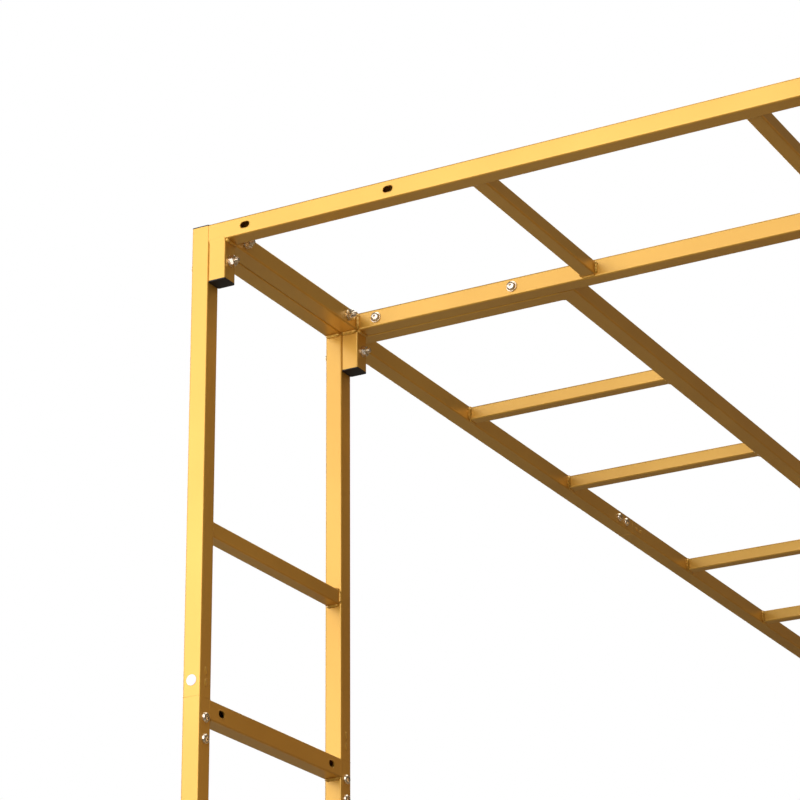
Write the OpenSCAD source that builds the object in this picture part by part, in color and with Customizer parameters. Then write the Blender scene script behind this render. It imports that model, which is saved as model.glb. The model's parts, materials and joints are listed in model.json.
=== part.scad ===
// Four-poster canopy bed frame in welded square tube.
// Every corner post is a ladder of two uprights; the canopy is a ring of flat ladders.
// Z = 0 is the floor, X runs across the bed and Y along it, with the foot end at -Y.

/* [Overall size] */
// Outside width across the posts
bed_w = 1586; // [1300:2:1900]
// Outside length of the bed
bed_l = 2056; // [1800:2:2500]
// Height of the canopy's top face above the floor
bed_h = 2000; // [1700:1:2400]

/* [Tube] */
// Outside size of the square tube in posts, rails and end bars
tube = 20; // [18:1:30]
// Outside size of the thinner square tube in the rungs
rung = 16; // [10:1:18]
// Wall of every tube
wall = 1.2; // [0.8:0.1:2]
// Outside corner radius of the tubes
corner_r = 2; // [1.2:0.1:2.5]

/* [Ladders] */
// Outside width of every ladder, in the legs and in the canopy
ladder_w = 290; // [230:1:400]
// Length of the top section of each leg
top_section_h = 494; // [400:1:700]
// Drop from the canopy's top to the middle of the first leg rung
leg_rung_drop = 320; // [200:1:330]
// Pitch of the rungs in the canopy's foot and head panels
end_rung_pitch = 287; // [220:0.5:290]
// Pitch of the rungs in the canopy's side panels
side_rung_pitch = 266; // [220:0.5:280]
// Distance from the side panels' splice to the nearest rung
side_rung_start = 184; // [120:1:200]
// Height of the short stub that hangs below each end of a foot or head panel
stub_h = 44; // [35:1:80]
// Distance from an upright to the middle of the nearest slot in a ladder's bar
bar_hole_inset = 19.5; // [12:0.5:40]
// Distance from a panel's end bar to the nearest bolt slot in its rail
rail_hole_inset = 42.75; // [20:0.25:60]
// Length of the bolt slots
slot_l = 11; // [7:0.5:14]

/* [Splices] */
// Length of the square insert inside each splice
insert_l = 100; // [90:1:140]
// Clearance between an insert and the tube around it, on each side
insert_gap = 0.2; // [0.1:0.05:0.4]
// Distance from a splice to the first bolt
splice_bolt_first = 20; // [15:1:25]
// Distance between the two bolts of a splice
splice_bolt_pitch = 21; // [15:1:24]

/* [Platform] */
// Height of the slats' top face
platform_h = 350; // [300:1:400]
// Height of the side, foot and head rails
rail_h = 40; // [30:1:50]
// Width of the centre beam
beam_w = 30; // [25:1:40]
// Rows of slats
slat_rows = 13; // [9:1:17]
// Width of a slat
slat_w = 40; // [30:1:60]
// Height of a slat
slat_h = 12; // [8:1:16]
// Distance from the bed's end to the middle of the first row of slats
first_slat = 90; // [70:1:150]
// Thickness of welded plates, brackets and ledges
plate = 3; // [2:0.5:5]
// Width of the ledge under the slats' outer ends
ledge_w = 25; // [20:1:35]

/* [Headboard] */
// Height of the headboard's top
headboard_h = 1100; // [950:1:1300]
// Height of the headboard's bottom
headboard_low = 430; // [400:1:500]
// Spindles in each half of the headboard
spindles = 6; // [3:1:9]

/* [Fasteners] */
// Thread diameter of every bolt
bolt_d = 6; // [5:0.5:6]
// Clearance hole for the bolts
hole_d = 7; // [6.4:0.1:7]
// Diameter of a bolt's button head
head_d = 10.5; // [9:0.5:11]
// Height of a bolt's button head
head_h = 3.3; // [2:0.1:4]
// Outside diameter of the washers
washer_d = 12; // [11:0.5:14]
// Thickness of the washers
washer_t = 1.2; // [0.8:0.1:2]
// Width of the nuts across their flats
nut_af = 10; // [9:0.5:10]
// Height of the nuts
nut_h = 5; // [3:0.5:5]

/* [Plastic] */
// Thickness of a plug's flange
plug_t = 1.2; // [1:0.1:2]
// Thickness of a foot plug's flange, which stands on the floor
foot_t = 4; // [3:0.5:6]
// Depth of a plug inside its tube
plug_depth = 14; // [8:1:18]

/* [Hidden] */
$fn = 48;
eps = 0.01;
weld_gap = 0.1;      // root gap between two welded tubes, which the bead fills
thread_play = 0.05;  // radial play between a bolt and its nut
screw_d = 4;
screw_head_d = 8;
screw_l = 16;
label_d = 11;        // round blank sticker
label_t = 0.3;
label_drop = 478;    // from the canopy's top to the sticker's middle
plug_fit = 0.15;     // clearance between a plug and the tube's bore

half_w = bed_w / 2;
half_l = bed_l / 2;
seam_x = half_w - tube;              // inner face of the corner posts
bore = tube - 2 * wall;
span = ladder_w - 2 * tube;          // clear width inside a ladder
rung_inset = (tube - rung) / 2;
insert_w = bore - 2 * insert_gap;
insert_wall = 1.5;
high_joint = bed_h - top_section_h;
low_joint = (high_joint + foot_t) / 2;
stub_bolt_drop = tube + stub_h / 2;
bar_holes = [tube + bar_hole_inset, ladder_w - tube - bar_hole_inset];
rail_holes = [rail_hole_inset, span - rail_hole_inset];
splice_bolts = [splice_bolt_first, splice_bolt_first + splice_bolt_pitch];
grip = 2 * tube;                     // two tubes bolted face to face
nut_stick = 4;                       // bolt end that shows past its nut
beam_top = platform_h - slat_h;
rail_mid = platform_h - rail_h / 2;
platform_bar = beam_top - plate - washer_d / 2 - 3;  // middle height of the leg bars behind the side rails
cross_ear = 26;                      // how far an end plate stands above and below its rail
cross_mid = platform_h - cross_ear - rail_h / 2;     // middle height of the foot and head rails
beam_ends = half_l - tube - plate;   // middle of the bed to the beam's end
beam_plate_w = 90;
beam_bolt_x = 28;
centre_leg_y = [for (s = [-3, -1, 1, 3]) s * half_l / 4];
saddle_ear = 25;
slat_wall = 1.2;
slat_clear = 1;
slat_y = [for (i = [0 : slat_rows - 1])
    -half_l + first_slat + i * (bed_l - 2 * first_slat) / (slat_rows - 1)];
headboard_bolts = [headboard_low + 45, headboard_h - 45];
CORNERS = [[-1, -1], [1, -1], [-1, 1], [1, 1]];

// ---- Tube and placing ----

// Rectangle with round corners, corner at the origin
module round_rect(a, b, r) {
    translate([r, 0]) square([a - 2 * r, b]);
    translate([0, r]) square([a, b - 2 * r]);
    for (x = [r, a - r], y = [r, b - r])
        translate([x, y]) circle(r = r, $fn = 24);
}

// Hollow tube along +Z with its corner at the origin
module tube_z(len, a = tube, b = tube) {
    linear_extrude(len) difference() {
        round_rect(a, b, corner_r);
        translate([wall, wall])
            round_rect(a - 2 * wall, b - 2 * wall, max(corner_r - wall, 0.2));
    }
}

// The same tube along +Y: a across X, b across Z
module tube_y(len, a = tube, b = tube) {
    translate([0, 0, b]) rotate([-90, 0, 0]) tube_z(len, a, b);
}

// The same tube along +X: a across Y, b across Z
module tube_x(len, a = tube, b = tube) {
    rotate([90, 0, 90]) tube_z(len, a, b);
}

// Drawn for the foot left corner and mirrored to another one.
// In it, x = 0 is the post's inner face, y = 0 the bed's end and z = 0 the floor.
module at_corner(side, end) {
    mirror([side > 0 ? 1 : 0, 0, 0]) mirror([0, end > 0 ? 1 : 0, 0])
        translate([-seam_x, -half_l, 0]) children();
}

// The same frame at all four corners
module at_corners() {
    for (c = CORNERS) at_corner(c[0], c[1]) children();
}

module drill_x(at, len) {
    translate(at) rotate([0, 90, 0]) cylinder(h = len, d = hole_d);
}

module drill_y(at, len) {
    translate(at) rotate([-90, 0, 0]) cylinder(h = len, d = hole_d);
}

// Round-ended slot through a rail along Y, long across X
module slot_y(at, len) {
    reach = (slot_l - hole_d) / 2;
    for (dx = [-reach, reach]) drill_y(at + [dx, 0, 0], len);
    translate(at + [-reach, 0, -hole_d / 2]) cube([2 * reach, len, hole_d]);
}

// Round-ended slot through a bar along X, long across Y
module slot_x(at, len) {
    reach = (slot_l - hole_d) / 2;
    for (dy = [-reach, reach]) drill_x(at + [0, dy, 0], len);
    translate(at + [0, -reach, -hole_d / 2]) cube([len, 2 * reach, hole_d]);
}

// ---- Fasteners ----

// Button-head bolt along +X: the head's seat is at x = 0, the end at x = len
module bolt_x(len) {
    rotate([0, 90, 0]) {
        cylinder(h = len, d = bolt_d);
        difference() {
            translate([0, 0, -head_h]) {
                translate([0, 0, head_h * 0.6]) cylinder(h = head_h * 0.4, d = head_d);
                cylinder(h = head_h * 0.6, d1 = head_d * 0.55, d2 = head_d);
            }
            translate([0, 0, -head_h - eps])
                cylinder(h = head_h * 0.6, d = bolt_d * 0.75, $fn = 6);
        }
    }
}

module washer_x() {
    rotate([0, 90, 0]) difference() {
        cylinder(h = washer_t, d = washer_d);
        translate([0, 0, -eps]) cylinder(h = washer_t + 2 * eps, d = bolt_d + 0.4);
    }
}

module nut_x() {
    rotate([0, 90, 0]) difference() {
        cylinder(h = nut_h, d = nut_af / cos(30), $fn = 6);
        translate([0, 0, -eps])
            cylinder(h = nut_h + 2 * eps, d = bolt_d + 2 * thread_play);
    }
}

// One piece of a through-bolted joint that clamps a stack of the given thickness,
// from x = 0 to x = stack, with a washer on both sides
module joint_piece(piece, stack) {
    if (piece == "bolt")
        translate([-washer_t, 0, 0]) bolt_x(stack + 2 * washer_t + nut_h + nut_stick);
    if (piece == "washer") {
        translate([-washer_t, 0, 0]) washer_x();
        translate([stack, 0, 0]) washer_x();
    }
    if (piece == "nut") translate([stack + washer_t, 0, 0]) nut_x();
}

// A splice bolt's head seats on a tube's face at x = 0 and its nut is welded
// inside the insert. d is the depth from the face to the insert's inner wall.
module splice_piece(piece) {
    d = wall + insert_gap + insert_wall;
    if (piece == "bolt") bolt_x(d + nut_h + 1);
    if (piece == "nut") translate([d, 0, 0]) nut_x();
}

// ---- Legs ----

// Both uprights of a leg section, between two heights
module uprights(z0, z1) {
    for (y = [0, ladder_w - tube])
        translate([-tube, y, z0]) tube_z(z1 - z0);
}

// Thin rung between the uprights, centred on height z
module leg_rung(z) {
    translate([-tube + rung_inset, tube + weld_gap, z - rung / 2])
        tube_y(span - 2 * weld_gap, rung, rung);
}

// Full-size bar between the uprights, centred on height z, with its two bolt slots
module leg_bar(z) {
    difference() {
        translate([-tube, tube + weld_gap, z - tube / 2]) tube_y(span - 2 * weld_gap);
        for (y = bar_holes) slot_x([-tube - 1, y, z], tube + 2);
    }
}

// Holes on the inner face of both uprights for the bolts of the splice above
module splice_holes_below(joint) {
    for (y = [tube / 2, ladder_w - tube / 2], dz = splice_bolts)
        drill_x([-wall - 1, y, joint - dz], wall + 2);
}

module leg_top_section() {
    color("goldenrod") {
        difference() {
            uprights(high_joint, bed_h - plug_t);
            for (y = [tube / 2, ladder_w - tube / 2])
                drill_x([-tube - 1, y, bed_h - stub_bolt_drop], tube + 2);
        }
        leg_bar(bed_h - tube / 2);
        leg_rung(bed_h - leg_rung_drop);
    }
}

module leg_middle_section() {
    pitch = (high_joint - low_joint) / 3;
    color("goldenrod") {
        difference() {
            uprights(low_joint, high_joint);
            splice_holes_below(high_joint);
        }
        leg_bar(high_joint - tube / 2);
        for (i = [1, 2]) leg_rung(high_joint - tube / 2 - i * pitch);
    }
}

module leg_bottom_section(head_end) {
    low_rung = platform_bar / 3;
    color("goldenrod") {
        difference() {
            uprights(foot_t, low_joint);
            splice_holes_below(low_joint);
            for (z = cross_bolt_z()) drill_x([-tube - 1, tube / 2, z], tube + 2);
            if (head_end) drill_x([-tube - 1, tube / 2, headboard_bolts[0]], tube + 2);
        }
        leg_bar(low_joint - tube / 2);
        leg_rung((low_joint + platform_bar) / 2);
        leg_bar(platform_bar);
        leg_rung(low_rung);
    }
}

// The head legs' middle sections also carry the headboard's upper bolts
module leg_middle_section_head() {
    difference() {
        leg_middle_section();
        drill_x([-tube - 1, tube / 2, headboard_bolts[1]], tube + 2);
    }
}

// ---- Canopy ----

// Half of a foot or head panel: two rails, an end bar, two stubs and two rungs
module canopy_end_half(bolted) {
    z = bed_h - tube;
    color("goldenrod") {
        for (y = [0, ladder_w - tube])
            difference() {
                translate([0, y, z]) tube_x(seam_x - weld_gap / 2);
                for (x = rail_holes) slot_y([x, y - 1, z + tube / 2], tube + 2);
                if (bolted) end_splice_holes(y, z);
            }
        difference() {
            translate([0, tube + weld_gap, z]) tube_y(span - 2 * weld_gap);
            for (y = bar_holes) drill_x([-1, y, z + tube / 2], tube + 2);
        }
        for (y = [0, ladder_w - tube])
            difference() {
                translate([0, y, z - stub_h + plug_t]) tube_z(stub_h - plug_t - weld_gap);
                drill_x([-1, y + tube / 2, bed_h - stub_bolt_drop], tube + 2);
            }
        for (i = [1, 2])
            translate([tube / 2 + i * end_rung_pitch - rung / 2, tube + weld_gap, z + rung_inset])
                tube_y(span - 2 * weld_gap, rung, rung);
    }
}

// Bolt holes of the end panels' splices, in the rail faces that look into the ladder
module end_splice_holes(y, z) {
    inner_face = y < tube ? y + tube : y;
    for (dx = splice_bolts)
        drill_y([seam_x - dx, inner_face - wall - 1, z + tube / 2], 2 * wall + 2);
}

// Half of a side panel: two rails, an end bar and two rungs
module canopy_side_half(bolted) {
    z = bed_h - tube;
    len = half_l - ladder_w;
    color("goldenrod") {
        for (x = [-tube, ladder_w - 2 * tube])
            difference() {
                translate([x, ladder_w, z]) tube_y(len - weld_gap / 2);
                if (bolted) side_splice_holes(x, z);
            }
        difference() {
            translate([weld_gap, ladder_w, z]) tube_x(span - 2 * weld_gap);
            for (x = rail_holes) drill_y([x, ladder_w - 1, z + tube / 2], tube + 2);
        }
        for (i = [0, 1])
            translate([weld_gap, half_l - side_rung_start - i * side_rung_pitch - rung / 2,
                       z + rung_inset])
                tube_x(span - 2 * weld_gap, rung, rung);
    }
}

module side_splice_holes(x, z) {
    inner_face = x < 0 ? x + tube : x;
    for (dy = splice_bolts)
        drill_x([inner_face - wall - 1, half_l - dy, z + tube / 2], 2 * wall + 2);
}

// ---- Splices ----

// Insert along +Z, centred on the origin in all directions. It is welded above the splice
// and bolted below it, through its +X wall, at hole_y off its middle line.
module splice_insert(w = insert_w, h = insert_w, hole_y = 0) {
    difference() {
        translate([-w / 2, -h / 2, -insert_l / 2]) linear_extrude(insert_l) difference() {
            round_rect(w, h, corner_r - 0.2);
            translate([insert_wall, insert_wall])
                square([w - 2 * insert_wall, h - 2 * insert_wall]);
        }
        for (dz = splice_bolts)
            drill_x([w / 2 - insert_wall - 1, hole_y, -dz], insert_wall + 2);
    }
}

module leg_splice_inserts() {
    color("dimgray") at_corners()
        for (y = [tube / 2, ladder_w - tube / 2], z = [low_joint, high_joint])
            translate([-tube / 2, y, z]) splice_insert();
}

// Where a leg splice's bolts are: x axis into the post from its inner face
module at_leg_splice_bolts() {
    at_corners()
        for (y = [tube / 2, ladder_w - tube / 2], z = [low_joint, high_joint], dz = splice_bolts)
            translate([0, y, z - dz]) mirror([1, 0, 0]) children();
}

module leg_splice_bolts() { color("silver") at_leg_splice_bolts() splice_piece("bolt"); }
module leg_splice_nuts() { color("silver") at_leg_splice_bolts() splice_piece("nut"); }

// The end panels' inserts lie along X on the bed's centreline, bolted in the left half
module at_end_splices() {
    for (end = [-1, 1], rail = [0, 1])
        mirror([0, end > 0 ? 1 : 0, 0])
            translate([0, -half_l + tube / 2 + rail * (ladder_w - tube), bed_h - tube / 2])
                mirror([0, rail, 0]) rotate([90, 0, 0]) rotate([0, 90, 0]) children();
}

module canopy_end_splice_inserts() {
    color("dimgray") at_end_splices() splice_insert();
}

// The side panels' inserts lie along Y at the middle of the bed, bolted in the foot half
module at_side_splices() {
    for (side = [-1, 1], rail = [0, 1])
        mirror([side > 0 ? 1 : 0, 0, 0])
            translate([-half_w + tube / 2 + rail * (ladder_w - tube), 0, bed_h - tube / 2])
                mirror([rail, 0, 0]) rotate([-90, 0, 0]) children();
}

module canopy_side_splice_inserts() {
    color("dimgray") at_side_splices() splice_insert();
}

module canopy_splice_piece(piece) {
    for (dz = splice_bolts) {
        at_end_splices() translate([tube / 2, 0, -dz]) mirror([1, 0, 0]) splice_piece(piece);
        at_side_splices() translate([tube / 2, 0, -dz]) mirror([1, 0, 0]) splice_piece(piece);
    }
}

module canopy_splice_bolts() { color("silver") canopy_splice_piece("bolt"); }
module canopy_splice_nuts() { color("silver") canopy_splice_piece("nut"); }

// ---- Canopy bolts ----

// Every corner: two bolts through the posts and the stubs, two through the leg's top bar
// and the panel's end bar, two through the panel's inner rail and the side panel's end bar
module canopy_joint_piece(piece) {
    at_corners() {
        for (y = [tube / 2, ladder_w - tube / 2])
            translate([-tube, y, bed_h - stub_bolt_drop]) joint_piece(piece, grip);
        for (y = bar_holes)
            translate([-tube, y, bed_h - tube / 2]) joint_piece(piece, grip);
        for (x = rail_holes)
            translate([x, ladder_w - tube, bed_h - tube / 2]) rotate([0, 0, 90])
                joint_piece(piece, grip);
    }
}

module canopy_bolts() { color("silver") canopy_joint_piece("bolt"); }
module canopy_washers() { color("silver") canopy_joint_piece("washer"); }
module canopy_nuts() { color("silver") canopy_joint_piece("nut"); }

// ---- Plastic plugs and label ----

// Plug for an upward opening: flange on top of the tube, z = 0 at the tube's end
module plug(flange) {
    body = bore - 2 * plug_fit;
    linear_extrude(flange) translate([-tube / 2, -tube / 2]) round_rect(tube, tube, corner_r);
    translate([-body / 2, -body / 2, -plug_depth + eps]) linear_extrude(plug_depth)
        difference() {
            round_rect(body, body, corner_r - wall / 2);
            translate([1.6, 1.6]) square(body - 3.2);
        }
}

module at_posts() {
    at_corners() for (y = [tube / 2, ladder_w - tube / 2]) translate([-tube / 2, y, 0]) children();
}

module post_top_plugs() {
    color("black") at_posts() translate([0, 0, bed_h - plug_t]) plug(plug_t);
}

module stub_plugs() {
    color("black") at_posts()
        translate([tube, 0, bed_h - tube - stub_h + plug_t]) mirror([0, 0, 1]) plug(plug_t);
}

module foot_plugs() {
    color("black") at_posts() translate([0, 0, foot_t]) mirror([0, 0, 1]) plug(foot_t);
}

// Blank round sticker on the front face of the foot left leg
module round_label() {
    color("white") at_corner(-1, -1)
        translate([-tube / 2, 0, bed_h - label_drop]) rotate([90, 0, 0])
            cylinder(h = label_t, d = label_d);
}

// ---- Platform ----

// Heights of the two bolts that hold a foot or head rail's end plate to a post
function cross_bolt_z() = [for (s = [-1, 1]) cross_mid + s * (rail_h / 2 + cross_ear / 2)];

// Half of a side rail on the ladders' inner faces, with the ledge for the slats
module side_rail_half(bolted) {
    y0 = tube + 1;
    len = half_l - y0 - weld_gap / 2;
    color("goldenrod") {
        difference() {
            translate([0, y0, platform_h - rail_h]) tube_y(len, tube, rail_h);
            for (y = bar_holes) drill_x([-1, y, platform_bar], tube + 2);
            if (bolted) for (dy = splice_bolts)
                drill_x([tube - wall - 1, half_l - dy, platform_bar], wall + 2);
        }
        difference() {
            translate([tube + weld_gap, y0, beam_top - plate]) cube([ledge_w, len, plate]);
            for (y = slat_y) screw_hole([slat_screw_x()[0], y + half_l, beam_top]);
        }
    }
}

// Half of a foot or head rail between the posts, with the end plate bolted to the post
module cross_rail_half() {
    color("goldenrod") {
        difference() {
            translate([plate + weld_gap, 0, cross_mid - rail_h / 2])
                tube_x(seam_x - plate - 1.5 * weld_gap, tube, rail_h);
            drill_y([seam_x - beam_bolt_x, -1, cross_mid], tube + 2);
        }
        difference() {
            translate([0, 0, cross_mid - rail_h / 2 - cross_ear])
                cube([plate, tube, rail_h + 2 * cross_ear]);
            for (z = cross_bolt_z()) drill_x([-1, tube / 2, z], plate + 2);
        }
    }
}

// Half of the centre beam, with the end plate that also ties the foot or head rail's splice
module centre_beam_half(bolted) {
    color("goldenrod") {
        difference() {
            translate([-beam_w / 2, -beam_ends + weld_gap, beam_top - rail_h])
                tube_y(beam_ends - 1.5 * weld_gap, beam_w, rail_h);
            if (bolted) for (dy = splice_bolts)
                drill_x([beam_w / 2 - wall - 1, -dy, beam_top - rail_h / 2], wall + 2);
            for (x = [-1, 1], y = slat_y) screw_hole([x * beam_w / 4, y, beam_top]);
            for (y = centre_leg_y) drill_x([-beam_w / 2 - 1, y, saddle_bolt_z()], beam_w + 2);
        }
        difference() {
            translate([-beam_plate_w / 2, -beam_ends - plate, cross_mid - rail_h / 2])
                cube([beam_plate_w, plate, beam_top - cross_mid + rail_h / 2]);
            for (x = [-1, 1])
                drill_y([x * beam_bolt_x, -beam_ends - plate - 1, cross_mid], plate + 2);
        }
    }
}

// Threaded hole for a slat screw, down through a plate or wall whose top is at the point
module screw_hole(at) {
    translate(at - [0, 0, plate + 1]) cylinder(h = plate + 2, d = screw_d + 2 * thread_play);
}

function saddle_bolt_z() = beam_top - rail_h + saddle_ear / 2;

module platform_splice_inserts() {
    rail_insert_h = rail_h - 2 * wall - 2 * insert_gap;
    beam_insert_w = beam_w - 2 * wall - 2 * insert_gap;
    color("dimgray") {
        for (side = [0, 1])
            mirror([side, 0, 0]) translate([-seam_x + tube / 2, 0, rail_mid])
                rotate([-90, 0, 0])
                    splice_insert(insert_w, rail_insert_h, rail_mid - platform_bar);
        difference() {
            translate([0, 0, beam_top - rail_h / 2]) rotate([-90, 0, 0])
                splice_insert(beam_insert_w, rail_insert_h);
            // room for the slat screws that come down over the splice
            for (x = [-1, 1], y = slat_y) if (abs(y) < insert_l / 2 + screw_d)
                translate([x * beam_w / 4, y, beam_top - rail_h / 2])
                    cylinder(h = rail_h / 2, d = screw_d + 0.5);
        }
        for (end = [0, 1])
            mirror([0, end, 0]) translate([0, -half_l + tube / 2, cross_mid])
                cross_rail_insert(rail_insert_h);
    }
}

module cross_rail_insert(h) {
    difference() {
        translate([-insert_l / 2, -insert_w / 2, -h / 2]) rotate([90, 0, 90])
            linear_extrude(insert_l) difference() {
                round_rect(insert_w, h, corner_r - 0.2);
                translate([insert_wall, insert_wall])
                    square([insert_w - 2 * insert_wall, h - 2 * insert_wall]);
            }
        for (x = [-1, 1]) drill_y([x * beam_bolt_x, -insert_w, 0], 2 * insert_w);
    }
}

// Leg under the centre beam: a tube with a saddle that the beam sits in
module centre_leg() {
    beam_low = beam_top - rail_h;
    translate([-tube / 2, -tube / 2, foot_t]) tube_z(beam_low - plate - foot_t);
    difference() {
        translate([-beam_w / 2 - plate, -tube / 2, beam_low - plate])
            cube([beam_w + 2 * plate, tube, saddle_ear + plate]);
        translate([-beam_w / 2 - eps, -tube, beam_low]) cube([beam_w + 2 * eps, 2 * tube, rail_h]);
        drill_x([-beam_w, 0, saddle_bolt_z()], 2 * beam_w);
    }
}

module centre_legs() {
    color("goldenrod") for (y = centre_leg_y) translate([0, y, 0]) centre_leg();
}

module centre_leg_plugs() {
    color("black") for (y = centre_leg_y)
        translate([0, y, foot_t]) mirror([0, 0, 1]) plug(foot_t);
}

// Upside-down steel channel from the ledge to the middle of the centre beam
module slat() {
    x0 = tube + slat_clear;
    len = seam_x - x0 - slat_clear / 2;
    difference() {
        translate([x0, -slat_w / 2, beam_top]) cube([len, slat_w, slat_h]);
        translate([x0 - 1, -slat_w / 2 + slat_wall, beam_top - 1])
            cube([len + 2, slat_w - 2 * slat_wall, slat_h + 1 - slat_wall]);
        for (x = slat_screw_x())
            translate([x, 0, beam_top]) cylinder(h = slat_h + 1, d = screw_d + 0.5);
    }
}

// The slats' screws, measured from the posts' inner face: into the ledge and the beam
function slat_screw_x() = [tube + ledge_w / 2, seam_x - beam_w / 4];

module slats(side) {
    color("goldenrod") mirror([side > 0 ? 1 : 0, 0, 0]) translate([-seam_x, 0, 0])
        for (y = slat_y) translate([0, y, 0]) slat();
}

module slat_screws() {
    color("silver") for (side = [0, 1], y = slat_y, x = slat_screw_x())
        mirror([side, 0, 0]) translate([x - seam_x, y, platform_h]) {
            translate([0, 0, -screw_l]) cylinder(h = screw_l, d = screw_d);
            cylinder(h = 1.6, d1 = screw_head_d, d2 = screw_head_d * 0.7);
        }
}

// All the platform's and headboard's bolted joints
module platform_joint_piece(piece) {
    at_corners() {
        for (y = bar_holes)
            translate([-tube, y, platform_bar]) joint_piece(piece, grip);
        for (z = cross_bolt_z())
            translate([-tube, tube / 2, z]) joint_piece(piece, tube + plate);
    }
    for (side = [-1, 1], z = headboard_bolts) at_corner(side, 1)
        translate([-tube, tube / 2, z]) joint_piece(piece, grip);
    for (end = [0, 1], x = [-1, 1])
        mirror([0, end, 0]) translate([x * beam_bolt_x, -half_l, cross_mid])
            rotate([0, 0, 90]) joint_piece(piece, tube + plate);
    for (y = centre_leg_y)
        translate([-beam_w / 2 - plate, y, saddle_bolt_z()])
            joint_piece(piece, beam_w + 2 * plate);
}

module platform_bolts() { color("silver") { platform_joint_piece("bolt"); platform_splices("bolt"); } }
module platform_washers() { color("silver") platform_joint_piece("washer"); }
module platform_nuts() { color("silver") { platform_joint_piece("nut"); platform_splices("nut"); } }

// Splice bolts of the side rails, the centre beam and the headboard
module platform_splices(piece) {
    for (dy = splice_bolts) {
        for (side = [0, 1])
            mirror([side, 0, 0]) translate([-seam_x + tube, -dy, platform_bar])
                mirror([1, 0, 0]) splice_piece(piece);
        translate([beam_w / 2, -dy, beam_top - rail_h / 2]) mirror([1, 0, 0]) splice_piece(piece);
        for (z = headboard_rail_z())
            translate([-dy, half_l - tube, z]) rotate([0, 0, 90]) splice_piece(piece);
    }
}

// ---- Headboard ----

// Middle heights of the headboard's two rails
function headboard_rail_z() = [headboard_low + tube / 2, headboard_h - tube / 2];

// Half of the headboard, drawn at a corner: two rails with a stile and the spindles between
module headboard_half(bolted) {
    pitch = (seam_x - tube) / (spindles + 0.5);
    z0 = headboard_low + tube + weld_gap;
    len = headboard_h - tube - weld_gap - z0;
    color("goldenrod") {
        for (z = headboard_rail_z())
            difference() {
                translate([0, 0, z - tube / 2]) tube_x(seam_x - weld_gap / 2);
                if (bolted) for (dx = splice_bolts)
                    drill_y([seam_x - dx, tube - wall - 1, z], wall + 2);
            }
        difference() {
            translate([0, 0, z0]) tube_z(len);
            for (z = headboard_bolts) drill_x([-1, tube / 2, z], tube + 2);
            // room for the heads of the leg splice's bolts behind the stile
            for (dz = splice_bolts)
                translate([-1, tube / 2, low_joint - dz]) rotate([0, 90, 0])
                    cylinder(h = wall + 2, d = head_d + 1.5);
        }
        for (i = [1 : spindles])
            translate([tube + i * pitch - rung / 2, rung_inset, z0]) tube_z(len, rung, rung);
    }
}

module headboard_splice_inserts() {
    color("dimgray") for (z = headboard_rail_z())
        translate([0, half_l - tube / 2, z]) mirror([0, 1, 0])
            rotate([90, 0, 0]) rotate([0, 90, 0]) splice_insert();
}

at_corner(-1, -1) leg_top_section();  // foot_left_leg_top
at_corner(-1, -1) leg_middle_section();  // foot_left_leg_middle
at_corner(-1, -1) leg_bottom_section(false);  // foot_left_leg_bottom
at_corner(1, -1) leg_top_section();  // foot_right_leg_top
at_corner(1, -1) leg_middle_section();  // foot_right_leg_middle
at_corner(1, -1) leg_bottom_section(false);  // foot_right_leg_bottom
at_corner(-1, 1) leg_top_section();  // head_left_leg_top
at_corner(-1, 1) leg_middle_section_head();  // head_left_leg_middle
at_corner(-1, 1) leg_bottom_section(true);  // head_left_leg_bottom
at_corner(1, 1) leg_top_section();  // head_right_leg_top
at_corner(1, 1) leg_middle_section_head();  // head_right_leg_middle
at_corner(1, 1) leg_bottom_section(true);  // head_right_leg_bottom
at_corner(-1, -1) canopy_end_half(true);  // canopy_foot_panel_left
at_corner(1, -1) canopy_end_half(false);  // canopy_foot_panel_right
at_corner(-1, 1) canopy_end_half(true);  // canopy_head_panel_left
at_corner(1, 1) canopy_end_half(false);  // canopy_head_panel_right
at_corner(-1, -1) canopy_side_half(true);  // canopy_left_panel_foot
at_corner(-1, 1) canopy_side_half(false);  // canopy_left_panel_head
at_corner(1, -1) canopy_side_half(true);  // canopy_right_panel_foot
at_corner(1, 1) canopy_side_half(false);  // canopy_right_panel_head
leg_splice_inserts();
canopy_end_splice_inserts();
canopy_side_splice_inserts();
leg_splice_bolts();
leg_splice_nuts();
canopy_splice_bolts();
canopy_splice_nuts();
canopy_bolts();
canopy_washers();
canopy_nuts();
post_top_plugs();
stub_plugs();
foot_plugs();
round_label();
at_corner(-1, -1) side_rail_half(true);  // left_side_rail_foot
at_corner(-1, 1) side_rail_half(false);  // left_side_rail_head
at_corner(1, -1) side_rail_half(true);  // right_side_rail_foot
at_corner(1, 1) side_rail_half(false);  // right_side_rail_head
at_corner(-1, -1) cross_rail_half();  // foot_rail_left
at_corner(1, -1) cross_rail_half();  // foot_rail_right
at_corner(-1, 1) cross_rail_half();  // head_rail_left
at_corner(1, 1) cross_rail_half();  // head_rail_right
centre_beam_half(true);  // centre_beam_foot
mirror([0, 1, 0]) centre_beam_half(false);  // centre_beam_head
platform_splice_inserts();
centre_legs();
centre_leg_plugs();
slats(-1);  // left_slats
slats(1);  // right_slats
slat_screws();
platform_bolts();
platform_washers();
platform_nuts();
at_corner(-1, 1) headboard_half(true);  // headboard_left
at_corner(1, 1) headboard_half(false);  // headboard_right
headboard_splice_inserts();
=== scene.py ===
# %% [markdown]
# # A four-poster canopy bed in gold square tube
# The frame is welded from thin steel tube: every corner post is a ladder of two uprights,
# and the canopy is a ring of flat ladders bolted to the posts. The CAD frame brings every
# tube, slat, insert, bolt and plug at its real size. This script adds what a workshop adds:
# weld beads, plug welds, turned and threaded fasteners, paint, plating and moulded plastic.

# %% Load the frame
import json
import math
import random

import bmesh
import bpy
from mathutils import Matrix, Vector


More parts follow.
